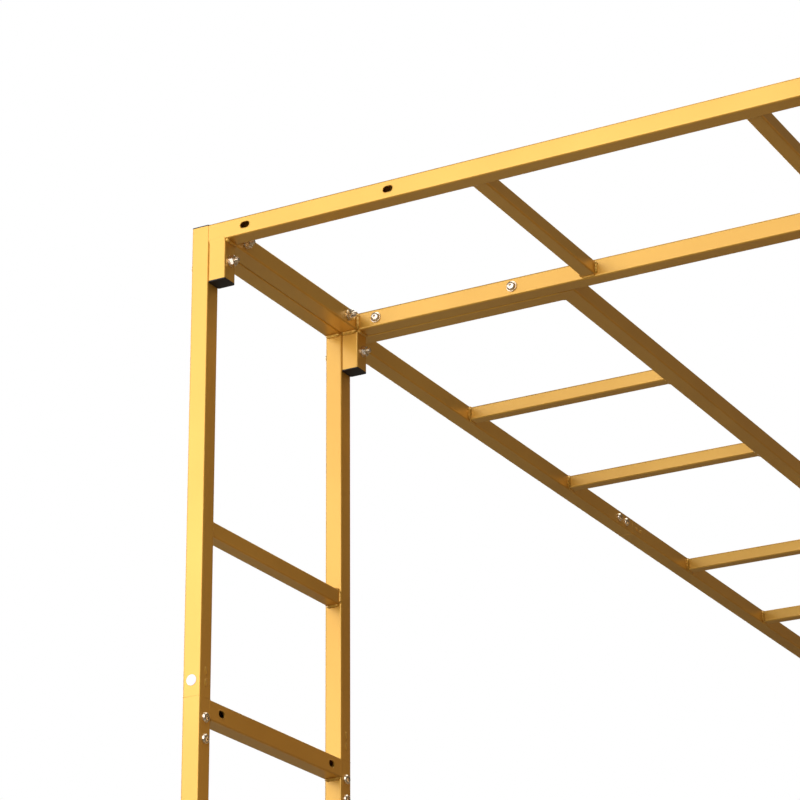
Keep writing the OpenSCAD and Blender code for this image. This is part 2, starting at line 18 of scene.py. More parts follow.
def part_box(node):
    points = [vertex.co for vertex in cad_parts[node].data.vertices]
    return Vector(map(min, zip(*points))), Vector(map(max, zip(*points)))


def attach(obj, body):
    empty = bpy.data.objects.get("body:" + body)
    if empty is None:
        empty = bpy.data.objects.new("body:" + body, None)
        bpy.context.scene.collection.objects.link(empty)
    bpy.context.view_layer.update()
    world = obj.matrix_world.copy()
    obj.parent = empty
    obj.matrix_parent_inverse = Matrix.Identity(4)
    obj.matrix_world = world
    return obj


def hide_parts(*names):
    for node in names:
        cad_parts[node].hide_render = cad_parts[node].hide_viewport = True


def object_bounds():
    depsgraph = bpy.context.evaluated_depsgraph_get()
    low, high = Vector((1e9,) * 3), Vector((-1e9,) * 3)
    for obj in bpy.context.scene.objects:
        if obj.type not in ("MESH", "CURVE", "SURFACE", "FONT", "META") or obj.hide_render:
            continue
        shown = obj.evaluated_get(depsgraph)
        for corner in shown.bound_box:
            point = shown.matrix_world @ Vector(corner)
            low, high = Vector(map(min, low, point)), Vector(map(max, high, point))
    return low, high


MM = 0.001
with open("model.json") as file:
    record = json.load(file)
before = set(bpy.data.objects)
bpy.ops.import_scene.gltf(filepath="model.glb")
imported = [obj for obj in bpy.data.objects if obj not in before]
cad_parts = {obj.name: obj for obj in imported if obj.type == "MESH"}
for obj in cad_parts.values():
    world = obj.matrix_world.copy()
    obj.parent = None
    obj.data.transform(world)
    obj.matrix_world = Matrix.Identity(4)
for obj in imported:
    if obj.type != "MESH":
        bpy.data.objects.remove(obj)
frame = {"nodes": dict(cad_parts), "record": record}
cad_box = [list(corner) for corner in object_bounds()]
random.seed(20)
print("CAD nodes:", len(frame["nodes"]), "box in metres:", cad_box)

# %% [markdown]
# ## Finding the tubes in the frame
# A CAD node holds several solids, such as the two uprights, the bar and the rung of one leg
# section. Their boxes say where every tube ends, so nothing has to be typed in twice. The
# node's mesh is loose triangles, so a copy is merged and then walked from vertex to vertex
# until each connected piece is complete.

# %% Measure every solid of a node
def solids(node):
    """Each solid of a CAD node as (lowest corner, highest corner, its points)."""
    bm = bmesh.new()
    bm.from_mesh(frame["nodes"][node].data)
    bmesh.ops.remove_doubles(bm, verts=bm.verts, dist=1e-6)
    seen, found = set(), []
    for start in bm.verts:
        if start in seen:
            continue
        seen.add(start)
        waiting, points = [start], []
        while waiting:
            v = waiting.pop()
            points.append(v.co.copy())
            for edge in v.link_edges:
                other = edge.other_vert(v)
                if other not in seen:
                    seen.add(other)
                    waiting.append(other)
        lo = Vector([min(p[i] for p in points) for i in range(3)])
        hi = Vector([max(p[i] for p in points) for i in range(3)])
        found.append((lo, hi, points))
    bm.free()
    return found


UNIT = [Vector((1, 0, 0)), Vector((0, 1, 0)), Vector((0, 0, 1))]
SECTIONS = ("_top", "_middle", "_bottom")
RAILS = ("foot_rail", "head_rail", "centre_beam")
WELDED = [n for n in frame["nodes"] if "_panel_" in n or n.endswith(SECTIONS)]
WELDED += [n for n in frame["nodes"] if n.startswith(RAILS)]
WELDED += ["headboard_left", "headboard_right"]
parts = {node: solids(node) for node in WELDED}
print("welded nodes:", len(parts), "tubes and plates in them:", sum(map(len, parts.values())))

# %% [markdown]
# ## Materials
# Every material is built from shader nodes that read Object coordinates, so a pattern keeps
# its real size on every piece. Colours are written as the hex values that a painter would
# read off a chart, and one function turns them into the linear numbers that light uses.

# %% Colour and node helpers
def linear(hex_colour):
    """An sRGB hex colour as linear red, green, blue and alpha."""
    channels = [int(hex_colour[i:i + 2], 16) / 255 for i in (1, 3, 5)]
    return [c / 12.92 if c <= 0.04045 else ((c + 0.055) / 1.055) ** 2.4 for c in channels] + [1]


def add_node(tree, kind, sockets=(), **settings):
    """Adds a shader node, sets its properties, and fills or links its sockets."""
    node = tree.nodes.new(kind)
    for key, value in settings.items():
        setattr(node, key, value)
    for name, value in dict(sockets).items():
        if isinstance(value, bpy.types.NodeSocket):
            tree.links.new(value, node.inputs[name])
        else:
            node.inputs[name].default_value = value
    return node


def per(size_mm):
    """The texture scale whose features are this many millimetres apart."""
    return 1 / (size_mm * MM)


def new_material(name):
    """An empty material with its tree, its coordinates and its output."""
    material = bpy.data.materials.new(name)
    material.use_nodes = True
    tree = material.node_tree
    tree.nodes.clear()
    place = add_node(tree, "ShaderNodeTexCoord").outputs["Object"]
    out = add_node(tree, "ShaderNodeOutputMaterial")
    return material, tree, place, out.inputs["Surface"]


def noise(tree, place, size_mm, detail):
    """Soft noise whose blotches are this many millimetres apart."""
    return add_node(tree, "ShaderNodeTexNoise", {
        "Vector": place, "Scale": per(size_mm), "Detail": detail}).outputs["Fac"]


def two_tones(tree, value, low_hex, high_hex):
    """A ramp from one colour to another along a value."""
    ramp = add_node(tree, "ShaderNodeValToRGB", {"Fac": value})
    ramp.color_ramp.elements[0].color = linear(low_hex)
    ramp.color_ramp.elements[1].color = linear(high_hex)
    return ramp


print("gold paint in linear light:", [round(c, 3) for c in linear("#DBA943")])

# %% [markdown]
# ## Gold metallic powder paint
# The tubes are powder coated: fine bronze flakes in a clear binder, baked until it flows.
# It gives a satin metal sheen, a soft orange-peel skin a few millimetres across and a faint
# drift in tone along a tube. A high metallic value carries the flakes and a thin coat on top
# carries the glossy binder. The real flakes are far too small to show, so they are drawn
# half a millimetre across.

# %% Gold paint
def gold_paint():
    material, tree, place, surface = new_material("gold_metallic_powder_paint")
    tone = two_tones(tree, noise(tree, place, 160, 2.0), "#D5A33D", "#E0AF48")
    tone.color_ramp.elements[0].position, tone.color_ramp.elements[1].position = 0.3, 0.7
    flakes = add_node(tree, "ShaderNodeTexVoronoi", {"Vector": place, "Scale": per(0.5)})
    sparkle = add_node(tree, "ShaderNodeMapRange", {
        "Value": flakes.outputs["Distance"], "From Min": 0.0, "From Max": 0.8,
        "To Min": 0.38, "To Max": 0.48})
    skin = add_node(tree, "ShaderNodeBump", {
        "Height": noise(tree, place, 2.5, 1.0), "Strength": 0.10, "Distance": 0.1 * MM})
    shader = add_node(tree, "ShaderNodeBsdfPrincipled", {
        "Base Color": tone.outputs["Color"], "Metallic": 0.72,
        "Roughness": sparkle.outputs["Result"], "Normal": skin.outputs["Normal"],
        "Coat Weight": 0.5, "Coat Roughness": 0.25})
    tree.links.new(shader.outputs["BSDF"], surface)
    return material


# %% [markdown]
# ## Zinc plate, drawn steel, moulded plastic and vinyl
# Fasteners are barrel plated in zinc, which leaves a bright, slightly cloudy silver. The
# splice inserts are bare drawn tube, whose dull grey varies finely from spot to spot. The
# plugs are injection moulded with an eroded texture that turns the gloss dull, and the
# sticker is matt vinyl.

# %% The other finishes
def zinc_plate():
    material, tree, place, surface = new_material("bright_zinc_plate")
    rough = add_node(tree, "ShaderNodeMapRange", {
        "Value": noise(tree, place, 3, 3.0), "From Min": 0.3, "From Max": 0.7,
        "To Min": 0.18, "To Max": 0.34})
    shader = add_node(tree, "ShaderNodeBsdfPrincipled", {
        "Base Color": linear("#F0E2C8"), "Metallic": 1.0, "Roughness": rough.outputs["Result"]})
    tree.links.new(shader.outputs["BSDF"], surface)
    return material


def drawn_steel():
    material, tree, place, surface = new_material("bare_drawn_steel")
    rough = add_node(tree, "ShaderNodeMapRange", {
        "Value": noise(tree, place, 0.8, 4.0), "To Min": 0.35, "To Max": 0.6})
    shader = add_node(tree, "ShaderNodeBsdfPrincipled", {
        "Base Color": linear("#8C8780"), "Metallic": 1.0, "Roughness": rough.outputs["Result"]})
    tree.links.new(shader.outputs["BSDF"], surface)
    return material


def moulded_black():
    material, tree, place, surface = new_material("moulded_black_polyethylene")
    grain = add_node(tree, "ShaderNodeBump", {
        "Height": noise(tree, place, 0.6, 2.0), "Strength": 0.35, "Distance": 0.08 * MM})
    shader = add_node(tree, "ShaderNodeBsdfPrincipled", {
        "Base Color": linear("#0D0B08"), "Roughness": 0.6, "Normal": grain.outputs["Normal"]})
    tree.links.new(shader.outputs["BSDF"], surface)
    return material


def white_vinyl():
    material, tree, place, surface = new_material("matt_white_vinyl")
    tone = two_tones(tree, noise(tree, place, 1.5, 2.0), "#F1F1EE", "#FBFBFA")
    shader = add_node(tree, "ShaderNodeBsdfPrincipled", {
        "Base Color": tone.outputs["Color"], "Roughness": 0.6})
    tree.links.new(shader.outputs["BSDF"], surface)
    return material


FINISHES = {
    "gold_paint": gold_paint(), "plated_steel": zinc_plate(), "insert_steel": drawn_steel(),
    "black_plastic": moulded_black(), "label_paper": white_vinyl()}
for row in frame["record"]["subparts"]:
    mesh = frame["nodes"][row["node"]].data
    mesh.materials.clear()
    mesh.materials.append(FINISHES[row["material_slot"]])
print("finishes:", {slot: m.name for slot, m in FINISHES.items()})

# %% [markdown]
# ## Modelling helpers
# Small turned shapes are made as on a lathe, but in edit mode: a filled circle is extruded
# ring by ring, and each new ring is scaled to its radius. A master is modelled once at the
# origin, pointing along +Z, and each use is a copy of its mesh that is turned and moved into
# place before all the copies become one piece.

# %% Turned shapes, cuts and copies
def deselect():
    if bpy.context.object and bpy.context.object.mode != "OBJECT":
        bpy.ops.object.mode_set(mode="OBJECT")
    bpy.ops.object.select_all(action="DESELECT")


def turned(name, sides, rings):
    """A closed shape through rings of (height, radius), in millimetres, along +Z."""
    deselect()
    z, r = rings[0]
    bpy.ops.mesh.primitive_circle_add(
        vertices=sides, radius=r * MM, fill_type="NGON", location=(0, 0, z * MM))
    shape = bpy.context.object
    shape.name = name
    bpy.ops.object.transform_apply(location=True, rotation=True, scale=True)
    bpy.ops.object.mode_set(mode="EDIT")
    bpy.ops.mesh.select_all(action="SELECT")
    for next_z, next_r in rings[1:]:
        bpy.ops.mesh.extrude_region_move(
            TRANSFORM_OT_translate={"value": (0, 0, (next_z - z) * MM)})
        scale = next_r / r
        bpy.ops.transform.resize(value=(scale, scale, 1), center_override=(0, 0, next_z * MM))
        z, r = next_z, next_r
    bpy.ops.mesh.select_all(action="SELECT")
    bpy.ops.mesh.normals_make_consistent(inside=False)
    bpy.ops.object.mode_set(mode="OBJECT")
    return shape


def carve(shape, tool, operation="DIFFERENCE"):
    """Cuts a tool out of a shape, or keeps only what both share."""
    deselect()
    bpy.context.view_layer.objects.active = shape
    shape.select_set(True)
    cut = shape.modifiers.new("cut", "BOOLEAN")
    cut.operation, cut.object, cut.solver = operation, tool, "EXACT"
    bpy.ops.object.modifier_apply(modifier=cut.name)
    bpy.data.objects.remove(tool)


def smooth(shape, angle=35):
    deselect()
    bpy.context.view_layer.objects.active = shape
    shape.select_set(True)
    bpy.ops.object.shade_smooth_by_angle(angle=math.radians(angle))


def join(shapes):
    """Joins shapes into the first one, and returns its mesh alone as a master."""
    deselect()
    for shape in shapes:
        shape.select_set(True)
    bpy.context.view_layer.objects.active = shapes[0]
    if len(shapes) > 1:
        bpy.ops.object.join()
    smooth(shapes[0])
    mesh = shapes[0].data
    bpy.data.objects.remove(shapes[0])
    return mesh


def at(origin, z_axis, x_axis, scale=(1, 1, 1)):
    """Places a master: its +Z along z_axis and its +X along x_axis, scaled before it turns."""
    y_axis = z_axis.cross(x_axis)
    turn = Matrix((x_axis, y_axis, z_axis)).transposed().to_4x4()
    return Matrix.Translation(origin) @ turn @ Matrix.Diagonal((*scale, 1))


def make_piece(name, slot, uses, replaces=()):
    """One piece from copies of masters, given as (master, place)."""
    bm = bmesh.new()
    for master, place in uses:
        copy = master.copy()
        copy.transform(place)
        bm.from_mesh(copy)
        bpy.data.meshes.remove(copy)
    mesh = bpy.data.meshes.new(name)
    bm.to_mesh(mesh)
    bm.free()
    mesh.materials.append(FINISHES[slot])
    piece = bpy.data.objects.new(name, mesh)
    bpy.context.scene.collection.objects.link(piece)
    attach(piece, "root")
    if replaces:
        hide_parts(*replaces)
    print(f"{name}: {len(uses)} copies, {len(mesh.polygons)} faces")
    return piece


# %% [markdown]
# ## Weld beads
# Where one tube butts against another, a bead of filler runs along each inside corner and
# is painted over. It is laid in short steps, so it looks like a row of overlapping coins.
# Faces that are flush are ground flat, so they have no bead. A bead is therefore put only
# on those sides of a tube's end where the other tube carries on past it, which a probe just
# outside each side finds out.

# %% The bead master
BEAD_RINGS = [(-0.50, 0.50), (-0.36, 0.98), (-0.22, 0.84), (-0.07, 1.00), (0.08, 0.86),
              (0.22, 1.00), (0.36, 0.86), (0.50, 0.46)]
bead = join([turned("bead", 6, [(z * 1000, r * 1000) for z, r in BEAD_RINGS])])
print("bead faces:", len(bead.polygons))


# %% Put beads on every butt joint
BEAD_R, NARROW_BEAD_R = 2.6, 1.35   # millimetres; narrow where the other tube ends soon
BEAD_REACH, BEAD_ROOM = 1.5, 4      # how far past the corner it must run, for any and for wide
BEAD_INSET = 1.2 * MM               # a bead is this much shorter than the tube is wide


def inside(point, boxes):
    return any(all(lo[i] < point[i] < hi[i] for i in range(3)) for lo, hi, _ in boxes)


def longest_axis(size):
    return max(range(3), key=lambda i: size[i])


def end_sides(boxes):
    """The four sides of both ends of every box, as (the other boxes, the box's size, the
    index of the side's axis, the index of its edge's axis, the end's middle, the way out of
    the end, the side's normal)."""
    for lo, hi, _ in boxes:
        size, middle = hi - lo, (lo + hi) / 2
        along = longest_axis(size)
        others = [b for b in boxes if b[0] != lo or b[1] != hi]
        for end in (-1, 1):
            out = UNIT[along] * end
            face = middle + out * size[along] / 2
            for side in [i for i in range(3) if i != along]:
                across = 3 - along - side
                for way in (-1, 1):
                    yield others, size, side, across, face, out, UNIT[side] * way


def bead_places(boxes):
    """Where beads go on one welded node, given the boxes of its tubes and plates."""
    places = []
    for others, size, side, across, face, out, normal in end_sides(boxes):
        corner = face + normal * size[side] / 2
        if not inside(face + out * 1.0 * MM, others):
            continue
        if not inside(corner + normal * BEAD_REACH * MM + out * 1.0 * MM, others):
            continue
        room = inside(corner + normal * BEAD_ROOM * MM + out * 1.0 * MM, others)
        radius = (BEAD_R if room else NARROW_BEAD_R) * random.uniform(0.9, 1.1) * MM
        length = (size[across] - BEAD_INSET) * random.uniform(0.93, 1.0)
        origin = corner + (normal - out) * radius * 0.2
        places.append((bead, at(origin, UNIT[across], normal, (radius, radius, length))))
    return places


for node in WELDED:
    uses = bead_places(parts[node])
    if uses:
        make_piece(node + "_weld_beads", "gold_paint", uses)

# %% [markdown]
# ## Ground-flush fills
# Where the side of a tube's end is level with the tube it butts against, the weld is ground
# off and the two faces read as one. A shallow plate fills the gap and the rounded edge
# between them, and stands a hair proud so that the paint runs straight over it.

# %% Fills on every flush side
FILL_LENGTH, FILL_DEPTH, FILL_PROUD = 4.4 * MM, 1.2 * MM, 0.04
FILL_INSET = 2.2 * MM       # a fill is this much shorter than the tube is wide
SLIMMEST_FILLED = 12 * MM   # thinner tubes and plates have no fill


def plate_master():
    """A unit plate under the XY plane, with its long edges eased."""
    deselect()
    bpy.ops.mesh.primitive_cube_add(size=1, location=(0, 0, -0.5))
    plate = bpy.context.object
    bpy.ops.object.transform_apply(location=True, rotation=True, scale=True)
    soft = plate.modifiers.new("soft", "BEVEL")
    soft.width, soft.segments = 0.03, 2
    bpy.ops.object.modifier_apply(modifier=soft.name)
    return join([plate])


def fill_places(boxes):
    """Where fills go on one welded node: level sides, with the other tube carrying on."""
    places = []
    for others, size, side, across, face, out, normal in end_sides(boxes):
        if min(size[side], size[across]) < SLIMMEST_FILLED:
            continue
        corner = face + normal * size[side] / 2
        if inside(corner + normal * 0.3 * MM + out * 3 * MM, others):
            continue
        if not inside(corner - normal * 0.3 * MM + out * 3 * MM, others):
            continue
        origin = corner + out * 1.0 * MM + normal * FILL_PROUD * MM
        stretch = (FILL_LENGTH, size[across] - FILL_INSET, FILL_DEPTH)
        places.append((plate, at(origin, normal, out, stretch)))
    return places


plate = plate_master()
for node in WELDED:
    uses = fill_places(parts[node])
    if uses:
        make_piece(node + "_ground_fills", "gold_paint", uses)

# %% [markdown]
# ## Stitch welds
# The ledges under the slats are stitched on: a short bead every so often is enough, and it
# keeps a long thin plate from warping. The stitches lie in the corner between the rail and
# the underside of the ledge.

# %% Stitch welds under the ledges
STITCH, STITCH_PITCH, STITCH_R = 25 * MM, 165 * MM, 1.8 * MM
for node in [n for n in frame["nodes"] if "_side_rail_" in n]:
    tube_box, ledge = sorted(solids(node), key=lambda b: b[1].z - b[0].z, reverse=True)
    inward = 1 if ledge[0].x > tube_box[0].x else -1
    x = tube_box[1].x if inward > 0 else tube_box[0].x
    count = int((ledge[1].y - ledge[0].y) / STITCH_PITCH)
    first = (ledge[0].y + ledge[1].y - (count - 1) * STITCH_PITCH) / 2
    uses = []
    for i in range(count):
        corner = Vector((x + inward * STITCH_R * 0.2, first + i * STITCH_PITCH,
                         ledge[0].z - STITCH_R * 0.2))
        uses.append((bead, at(corner, UNIT[1], UNIT[0], (STITCH_R, STITCH_R, STITCH))))
    make_piece(node + "_stitch_welds", "gold_paint", uses)

# %% [markdown]
# ## Plug welds and joint lines at the splices
# Each splice has a square insert. On one side of the joint it is bolted; on the other it is
# welded through two small holes, and grinding leaves a low oval on the tube's face. The two
# tube ends meet in a thin ridge of paint that catches the light. The inserts and the splice
# bolts in the frame say where both of these go.

# %% Ovals of the plug welds
PLUG_WELDS = (14 * MM, 26 * MM)   # from the joint, opposite the splice's two bolts
FAR_BOLT = 30 * MM                # bolts nearer than this to the joint take the near weld
SPLICE_BOLT_MAX = 20 * MM         # longer bolts pass right through and hold no splice
oval = join([turned("oval", 12, [(-0.4, 2.2), (0.0, 2.6), (0.45, 2.2), (0.8, 1.3), (0.9, 0.5)])])
INSERTS = [b for n in frame["nodes"] if n.endswith("splice_inserts") for b in solids(n)]


def bolt_facts(box):
    """Seat, direction of the head, total length and head height of one bolt in the frame."""
    lo, hi, points = box
    size, middle = hi - lo, (lo + hi) / 2
    along = longest_axis(size)
    wide = [p for p in points if (p - middle - UNIT[along] * (p - middle)[along]).length > 4 * MM]
    heights = [p[along] for p in wide]
    end = 1 if (max(heights) + min(heights)) / 2 > middle[along] else -1
    seat = middle + UNIT[along] * end * (size[along] / 2)
    # the dome's top is too narrow to count as wide, so the head runs on to the box's end
    head_h = abs(seat[along] - (min(heights) if end > 0 else max(heights)))
    seat -= UNIT[along] * end * head_h
    return seat, UNIT[along] * end, size[along], head_h


def plug_weld_uses(bolt_node):
    uses = []
    for box in solids(bolt_node):
        seat, head_way, length, head_h = bolt_facts(box)
        if length > SPLICE_BOLT_MAX:
            continue
        near = min(INSERTS, key=lambda b: ((b[0] + b[1]) / 2 - seat).length)
        centre, size = (near[0] + near[1]) / 2, near[1] - near[0]
        along = longest_axis(size)
        gap = seat[along] - centre[along]
        reach = PLUG_WELDS[0] if abs(gap) < FAR_BOLT else PLUG_WELDS[1]
        spot = seat.copy()
        spot[along] = centre[along] - math.copysign(reach, gap)
        across = UNIT[along].cross(head_way)
        tilt = random.uniform(-0.3, 0.3)
        long_axis = UNIT[along] * math.cos(tilt) + across * math.sin(tilt)
        uses.append((oval, at(spot, head_way, long_axis, (1.7, 1.0, 1.0))))
    return uses


for node in ("leg_splice_bolts", "canopy_splice_bolts", "platform_bolts"):
    make_piece(node.replace("bolts", "plug_welds"), "gold_paint", plug_weld_uses(node))


# %% Paint ridges at the joints
def joint_ridge(width, depth):
    """A thin square ring, 0.8 mm tall and 0.15 mm proud of a tube of this size."""
    deselect()
    bpy.ops.mesh.primitive_cube_add(size=1)
    ridge = bpy.context.object
    ridge.scale = (width + 0.3 * MM, depth + 0.3 * MM, 0.8 * MM)
    bpy.ops.object.transform_apply(location=True, rotation=True, scale=True)
    bpy.ops.object.mode_set(mode="EDIT")
    bm = bmesh.from_edit_mesh(ridge.data)
    bpy.ops.mesh.select_mode(type="EDGE")
    for edge in bm.edges:
        edge.select_set(abs((edge.verts[0].co - edge.verts[1].co).z) > 0.5 * MM)
    bmesh.update_edit_mesh(ridge.data)
    bpy.ops.mesh.bevel(offset=2 * MM, segments=4, affect="EDGES")
    bpy.ops.mesh.select_mode(type="FACE")
    bm = bmesh.from_edit_mesh(ridge.data)
    for face in bm.faces:
        face.select_set(abs(face.normal.z) > 0.9)
    bmesh.update_edit_mesh(ridge.data)
    bpy.ops.mesh.inset(thickness=0.9 * MM)
    bpy.ops.mesh.bridge_edge_loops()
    bpy.ops.mesh.select_all(action="SELECT")
    bpy.ops.mesh.normals_make_consistent(inside=False)
    bpy.ops.object.mode_set(mode="OBJECT")
    soft = ridge.modifiers.new("soft", "BEVEL")
    soft.width, soft.segments, soft.limit_method, soft.angle_limit = 0.12 * MM, 2, "ANGLE", 0.9
    bpy.ops.object.modifier_apply(modifier=soft.name)
    return join([ridge])


TUBE_OVER_INSERT = 2.8 * MM   # two walls and the clearance round an insert
ridges, ridge_uses = {}, []
for lo, hi, _ in INSERTS:
    size = hi - lo
    along = longest_axis(size)
    x_axis = UNIT[(along + 1) % 3]
    y_axis = UNIT[along].cross(x_axis)
    key = tuple(round(abs(size.dot(a)) / MM, 1) for a in (x_axis, y_axis))
    if key not in ridges:
        ridges[key] = joint_ridge(key[0] * MM + TUBE_OVER_INSERT, key[1] * MM + TUBE_OVER_INSERT)
    ridge_uses.append((ridges[key], at((lo + hi) / 2, UNIT[along], x_axis)))
make_piece("splice_joint_ridges", "gold_paint", ridge_uses)

# %% [markdown]
# ## Burrs round the bare holes
# Drilling and then painting leaves a slight raised lip round each empty hole and slot, which
# shows as a thin bright line. The frame's mounts say where those holes are, how far apart
# they are and how long a slot is, so each lip is a ring that is stretched into a slot
# by moving its two halves apart.

# %% Lips of the empty holes and slots
def hole_lip(hole_r, stretch):
    """A flattened ring round a hole of this radius in millimetres, stretched along X."""
    deselect()
    bpy.ops.mesh.primitive_torus_add(
        major_segments=28, minor_segments=6, major_radius=(hole_r + 0.35) * MM,
        minor_radius=0.4 * MM)
    lip = bpy.context.object
    for vertex in lip.data.vertices:
        vertex.co.x += math.copysign(stretch / 2, vertex.co.x)
        vertex.co.z *= 0.5
    return join([lip])


def lip_uses():
    uses, lips = [], {}
    for mount in frame["record"]["mounts"]:
        dims = mount["dims"]
        if mount["kind"] != "bolt_pattern":
            continue
        out = Vector(mount["axis"]).normalized()
        row = UNIT[1] if abs(out.x) > 0.5 else UNIT[0]
        stretch = max(0, dims.get("slot_length_mm", 0) - 2 * dims["hole_r_mm"]) * MM
        key = round(stretch, 5)
        if key not in lips:
            lips[key] = hole_lip(dims["hole_r_mm"], stretch)
        for way in (-0.5, 0.5):
            spot = Vector(mount["pos_m"]) + row * way * dims["spacing_x_mm"] * MM
            uses.append((lips[key], at(spot, out, row)))
    return uses


make_piece("hole_lips", "gold_paint", lip_uses())

# %% [markdown]
# ## Fasteners
# The bolts are M6 button heads with a hexagon socket, the washers are stamped and the nuts
# are hexagons whose corners are turned off at both ends. They are small but close to the
# eye, so each is a turned shape with a real socket, chamfer and helical thread. The thread
# is a triangle driven round by the Screw modifier, one millimetre up for each turn.

# %% Bolt master
BOLT_R, THREAD_PITCH = 3.0, 1.0   # millimetres, as are all sizes of the masters
THROUGH_BOLT_MIN = 15             # a longer shank is a through bolt, drawn with its thread
bolts = {}


def thread(z_low, z_high):
    """A helical ridge between two heights, in millimetres."""
    deselect()
    bpy.ops.mesh.primitive_circle_add(vertices=3, radius=0.5 * MM, fill_type="NOTHING")
    ridge = bpy.context.object
    profile = [(2.5, -0.48), (2.5, 0.48), (BOLT_R, 0.0)]
    for vertex, (r, z) in zip(ridge.data.vertices, profile):
        vertex.co = (r * MM, 0, (z_low + z) * MM)
    screw = ridge.modifiers.new("thread", "SCREW")
    screw.axis, screw.steps, screw.render_steps = "Z", 16, 16
    screw.screw_offset, screw.iterations = THREAD_PITCH * MM, max(1, round(z_high - z_low))
    screw.use_merge_vertices = False
    bpy.ops.object.modifier_apply(modifier=screw.name)
    bpy.ops.object.mode_set(mode="EDIT")
    bpy.ops.mesh.select_all(action="SELECT")
    bpy.ops.mesh.fill_holes(sides=3)
    bpy.ops.mesh.normals_make_consistent(inside=False)
    bpy.ops.object.mode_set(mode="OBJECT")
    return ridge


def bolt_master(shank, head_h, head_r):
    """Seat at the origin and head along +Z, all in millimetres."""
    dome = [(0, head_r * 0.97), (0.15, head_r)]
    dome += [(0.4 + (head_h - 0.4) * math.sin(a), head_r * math.cos(a * 0.72))
             for a in (0, 0.4, 0.8, 1.15, 1.45)]
    head = turned("head", 28, dome)
    socket = turned("socket", 6, [(head_h - 2.2, 2.0), (head_h + 1, 2.05)])
    carve(head, socket)
    through = shank > THROUGH_BOLT_MIN
    core = 2.55 if through else BOLT_R - 0.05
    rings = [(-shank, core - 0.5), (-shank + 0.6, core)]
    if through:
        rings += [(-shank + 14, core), (-shank + 14.6, BOLT_R - 0.05)]
    rings += [(0.2, BOLT_R - 0.05)]
    shapes = [head, turned("shank", 20, rings)]
    if through:
        shapes.append(thread(-shank + 0.9, -shank + 13.9))
    return join(shapes)


def bolt_uses(node):
    uses = []
    for box in solids(node):
        seat, head_way, length, head_h = bolt_facts(box)
        size = box[1] - box[0]
        head_r = sorted(size)[1] / 2 / MM
        key = (round((length - head_h) / MM, 1), round(head_h / MM, 1), round(head_r, 2))
        if key not in bolts:
            bolts[key] = bolt_master(*key)
        turn = random.uniform(0, math.pi)
        side = UNIT[2] if abs(head_way.z) < 0.5 else UNIT[0]
        x_axis = Matrix.Rotation(turn, 3, head_way) @ side
        uses.append((bolts[key], at(seat, head_way, x_axis)))
    return uses


for node in ("canopy_bolts", "leg_splice_bolts", "canopy_splice_bolts", "platform_bolts"):
    make_piece(node + "_turned", "plated_steel", bolt_uses(node), [node])
print("bolt sizes (shank, head height, head radius in mm):", sorted(bolts))


# %% Nut and washer masters
def nut_master(height, corner_r, bore_r):
    nut = turned("nut", 6, [(-height / 2, corner_r), (height / 2, corner_r)])
    flat_r = corner_r * math.cos(math.radians(30))
    chamfer = [(-height / 2 - 0.01, flat_r * 0.97), (-height / 2 + 0.7, corner_r + 0.05),
               (height / 2 - 0.7, corner_r + 0.05), (height / 2 + 0.01, flat_r * 0.97)]
    carve(nut, turned("chamfer", 36, chamfer), "INTERSECT")
    mouth = [(-height, bore_r + 0.35), (-height / 2, bore_r + 0.35), (-height / 2 + 0.4, bore_r),
             (height / 2 - 0.4, bore_r), (height / 2, bore_r + 0.35), (height, bore_r + 0.35)]
    carve(nut, turned("bore", 24, mouth))
    return join([nut])


def washer_master(height, outer_r, bore_r):
    half = height / 2
    rim = [(-half, outer_r - 0.25), (-half + 0.2, outer_r), (half - 0.2, outer_r),
           (half, outer_r - 0.25)]
    washer = turned("washer", 32, rim)
    carve(washer, turned("bore", 24, [(-height, bore_r), (height, bore_r)]))
    return join([washer])


def flat_uses(node, master_of):
    """Nuts and washers: thin along the bolt, so their shortest side is their axis."""
    uses, made = [], {}
    for lo, hi, _ in solids(node):
        size = hi - lo
        along = min(range(3), key=lambda i: size[i])
        key = (round(size[along] / MM, 2), round(max(size) / 2 / MM, 2))
        if key not in made:
            made[key] = master_of(*key, BOLT_R + 0.05 if "nut" in node else BOLT_R + 0.2)
        x_axis = UNIT[2] if along != 2 else UNIT[0]
        uses.append((made[key], at((lo + hi) / 2, UNIT[along], x_axis)))
    return uses


for node, master_of in (("canopy_nuts", nut_master), ("platform_nuts", nut_master),
                        ("canopy_washers", washer_master), ("platform_washers", washer_master)):
    make_piece(node + "_turned", "plated_steel", flat_uses(node, master_of), [node])

# %% [markdown]
# ## Slat screws
# Pan heads with a cross recess hold the slats. A low dome is cut by two crossed blades that
# taper towards the tip, as a driver bit does.

# %% Slat screws
PAN_HEAD_H = 1.6


def slat_screw_master(length, head_r):
    dome = [(0, head_r), (0.5, head_r), (1.1, head_r * 0.86), (1.5, head_r * 0.6),
            (PAN_HEAD_H, head_r * 0.3)]
    head = turned("head", 20, dome)
    for quarter in (0, 1):
        blade = turned("blade", 4, [(0.5, 0.9), (2.0, 1.6)])
        blade.data.transform(Matrix.Rotation(math.pi / 4, 4, "Z"))
        blade.data.transform(Matrix.Diagonal((2.2, 0.45, 1, 1)))
        blade.data.transform(Matrix.Rotation(quarter * math.pi / 2, 4, "Z"))
        carve(head, blade)
    shank = turned("shank", 12, [(-length, 0.6), (-length + 2, 1.9), (0.2, 1.9)])
    return join([head, shank])


